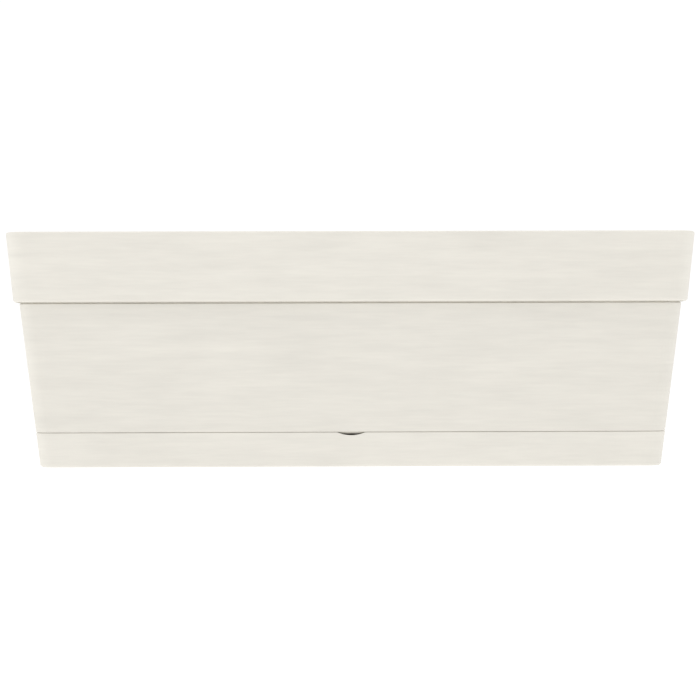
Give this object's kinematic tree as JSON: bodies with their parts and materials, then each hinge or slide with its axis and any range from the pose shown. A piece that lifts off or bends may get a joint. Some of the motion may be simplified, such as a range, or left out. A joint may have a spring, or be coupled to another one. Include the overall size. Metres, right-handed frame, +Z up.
{
  "type": "self-watering window box planter",
  "caption": "Long tapered window box with a deep rim on a flush clip-on water tray, with slotted wicking cups, a capped filling tube, a float level indicator and a drain plug inside.",
  "frame": {"origin": "centre of the footprint, on the surface that the tray stands on", "axes": "+X along the length, +Y to the back (the overflow notch is on the -Y side), +Z up"},
  "size_m": [0.6, 0.21, 0.205],
  "materials": {
    "cream_plastic": "satin, finely brushed along the length",
    "dark_plastic": "matte, fine grain",
    "grey_plastic": "satin",
    "clear_plastic": "clear, polished",
    "white_foam": "closed-cell foam",
    "white_plastic": "gloss",
    "red_plastic": "gloss",
    "black_rubber": "matte",
    "steel": "drawn wire"
  },
  "bodies": {
    "tray": {"reservoir_tray": "cream_plastic"},
    "box": {"planter_box": "cream_plastic"},
    "plug": {"drain_plug": "dark_plastic", "plug_gasket": "black_rubber"},
    "cup_1": {"wicking_cup_1": "dark_plastic"},
    "cup_2": {"wicking_cup_2": "dark_plastic"},
    "cup_3": {"wicking_cup_3": "dark_plastic"},
    "cup_4": {"wicking_cup_4": "dark_plastic"},
    "tube": {"fill_tube": "grey_plastic", "cap_hinge_pin": "steel"},
    "cap": {"fill_cap": "grey_plastic"},
    "indicator": {"indicator_sleeve": "grey_plastic", "sight_tube": "clear_plastic", "indicator_cap": "grey_plastic", "rod_guide": "grey_plastic"},
    "float": {"level_float": "white_foam", "indicator_rod": "white_plastic", "rod_tip": "red_plastic"}
  },
  "joints": [
    {"name": "box_lift", "type": "slide", "parent": "tray", "child": "box", "axis": [0, 0, 1], "range_m": [0, 0.06]},
    {"name": "plug_lift", "type": "slide", "parent": "tray", "child": "plug", "axis": [0, 0, 1], "range_m": [0, 0.012]},
    {"name": "cup_1_lift", "type": "slide", "parent": "box", "child": "cup_1", "axis": [0, 0, 1], "range_m": [0, 0.2]},
    {"name": "cup_2_lift", "type": "slide", "parent": "box", "child": "cup_2", "axis": [0, 0, 1], "range_m": [0, 0.2]},
    {"name": "cup_3_lift", "type": "slide", "parent": "box", "child": "cup_3", "axis": [0, 0, 1], "range_m": [0, 0.2]},
    {"name": "cup_4_lift", "type": "slide", "parent": "box", "child": "cup_4", "axis": [0, 0, 1], "range_m": [0, 0.2]},
    {"name": "tube_lift", "type": "slide", "parent": "box", "child": "tube", "axis": [0, 0, 1], "range_m": [0, 0.2]},
    {"name": "cap_hinge", "type": "hinge", "parent": "tube", "child": "cap", "pos_m": [0.258, 0.042, 0.1853], "axis": [0, 1, 0], "range_deg": [0, 110]},
    {"name": "indicator_lift", "type": "slide", "parent": "box", "child": "indicator", "axis": [0, 0, 1], "range_m": [0, 0.2]},
    {"name": "float_slide", "type": "slide", "parent": "indicator", "child": "float", "axis": [0, 0, 1], "range_m": [0, 0.02]}
  ]
}
